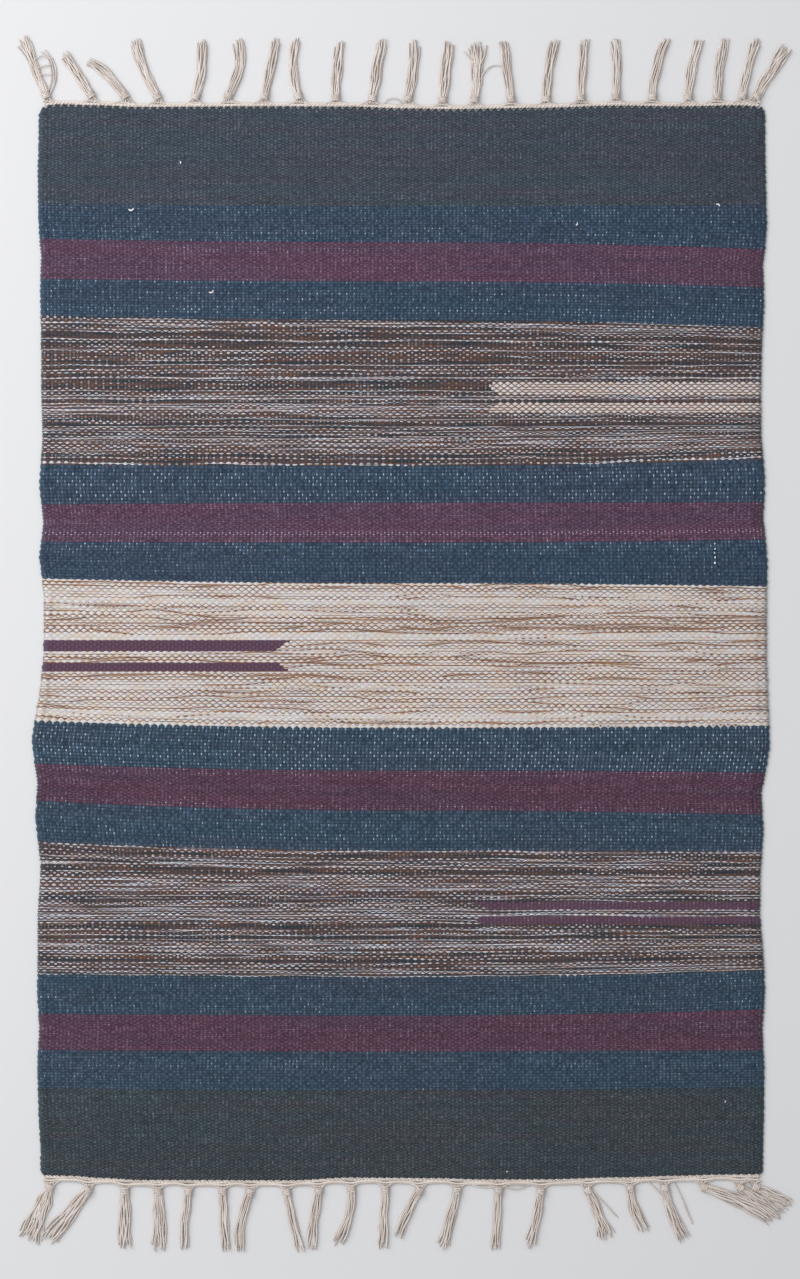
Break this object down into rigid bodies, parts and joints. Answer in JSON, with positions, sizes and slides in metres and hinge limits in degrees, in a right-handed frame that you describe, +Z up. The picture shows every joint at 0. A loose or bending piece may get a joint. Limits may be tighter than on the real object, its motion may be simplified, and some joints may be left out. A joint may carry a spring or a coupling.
{
  "type": "kilim rug",
  "caption": "Flat-woven cotton kilim laid flat, with crosswise stripes in blue, purple, charcoal, marled and cream yarn, twined ends and short knotted tassels.",
  "frame": {"origin": "on the floor, under the middle of the whole rug's box, fringes included", "axes": "+Z up out of the rug's face, +Y along the warps towards the end with the narrower cord, +X along the wefts"},
  "size_m": [0.6452, 1.0074, 0.0044],
  "materials": {
    "field_yarn": "matt weft-faced cotton weave in stripes",
    "cord_yarn": "matt twined undyed cotton",
    "tassel_yarn": "matt plied undyed cotton"
  },
  "bodies": {
    "root": {"woven_field": "field_yarn", "end_cord_far": "cord_yarn", "end_cord_near": "cord_yarn", "tassel_far_01": "tassel_yarn", "tassel_far_02": "tassel_yarn", "tassel_far_03": "tassel_yarn", "tassel_far_04": "tassel_yarn", "tassel_far_05": "tassel_yarn", "tassel_far_06": "tassel_yarn", "tassel_far_07": "tassel_yarn", "tassel_far_08": "tassel_yarn", "tassel_far_09": "tassel_yarn", "tassel_far_10": "tassel_yarn", "tassel_far_11": "tassel_yarn", "tassel_far_12": "tassel_yarn", "tassel_far_13": "tassel_yarn", "tassel_far_14": "tassel_yarn", "tassel_far_15": "tassel_yarn", "tassel_far_16": "tassel_yarn", "tassel_far_17": "tassel_yarn", "tassel_far_18": "tassel_yarn", "tassel_far_19": "tassel_yarn", "tassel_far_20": "tassel_yarn", "tassel_far_21": "tassel_yarn", "tassel_far_22": "tassel_yarn", "tassel_near_01": "tassel_yarn", "tassel_near_02": "tassel_yarn", "tassel_near_03": "tassel_yarn", "tassel_near_04": "tassel_yarn", "tassel_near_05": "tassel_yarn", "tassel_near_06": "tassel_yarn", "tassel_near_07": "tassel_yarn", "tassel_near_08": "tassel_yarn", "tassel_near_09": "tassel_yarn", "tassel_near_10": "tassel_yarn", "tassel_near_11": "tassel_yarn", "tassel_near_12": "tassel_yarn", "tassel_near_13": "tassel_yarn", "tassel_near_14": "tassel_yarn", "tassel_near_15": "tassel_yarn", "tassel_near_16": "tassel_yarn", "tassel_near_17": "tassel_yarn", "tassel_near_18": "tassel_yarn", "tassel_near_19": "tassel_yarn", "tassel_near_20": "tassel_yarn", "tassel_near_21": "tassel_yarn"}
  },
  "joints": []
}
